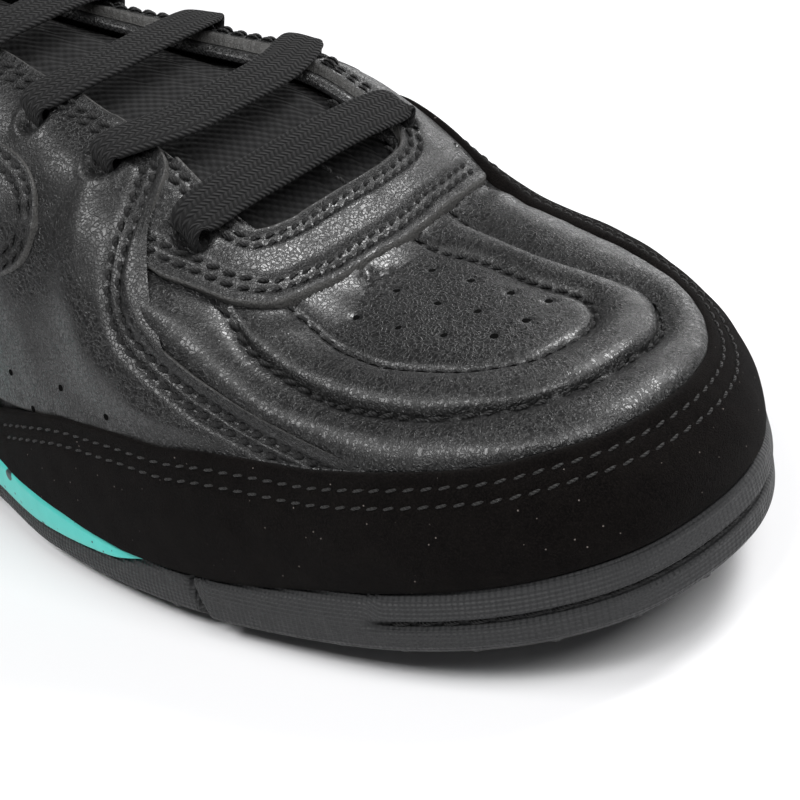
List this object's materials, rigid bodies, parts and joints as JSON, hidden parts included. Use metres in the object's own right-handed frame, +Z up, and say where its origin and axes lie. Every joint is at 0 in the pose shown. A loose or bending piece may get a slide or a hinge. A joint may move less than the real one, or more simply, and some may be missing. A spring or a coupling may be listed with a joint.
{
  "type": "turf shoe",
  "caption": "Low-cut turf shoe for the left foot, with a padded leather vamp, suede toe cap, wedge midsole and a rubber outsole with small nubs.",
  "frame": {"origin": "on the floor, in the middle of the flat pad under the heel", "axes": "+X towards the toe, +Y towards the wearer's left (the outer side of this left shoe), +Z up"},
  "size_m": [0.293, 0.1022, 0.1093],
  "materials": {
    "rubber": "matt, finely textured",
    "foam": "satin, speckled",
    "leather": "grained, semi-gloss",
    "suede": "napped, matt",
    "panel": "padded, satin",
    "tongue": "soft, matt",
    "lining": "soft, matt",
    "lace": "flat woven, matt",
    "thread": "twisted, satin"
  },
  "bodies": {
    "root": {"outsole": "rubber", "midsole": "foam", "upper": "leather", "toe_cap": "suede", "quarter_medial": "leather", "quarter_lateral": "leather", "vamp_band": "leather", "heel_counter": "suede", "heel_tab": "leather", "side_panel_medial": "panel", "side_panel_lateral": "panel", "tongue": "tongue", "insole": "lining", "lace_bar_1": "lace", "lace_bar_2": "lace", "lace_bar_3": "lace", "lace_bar_4": "lace", "lace_bar_5": "lace"}
  },
  "joints": []
}
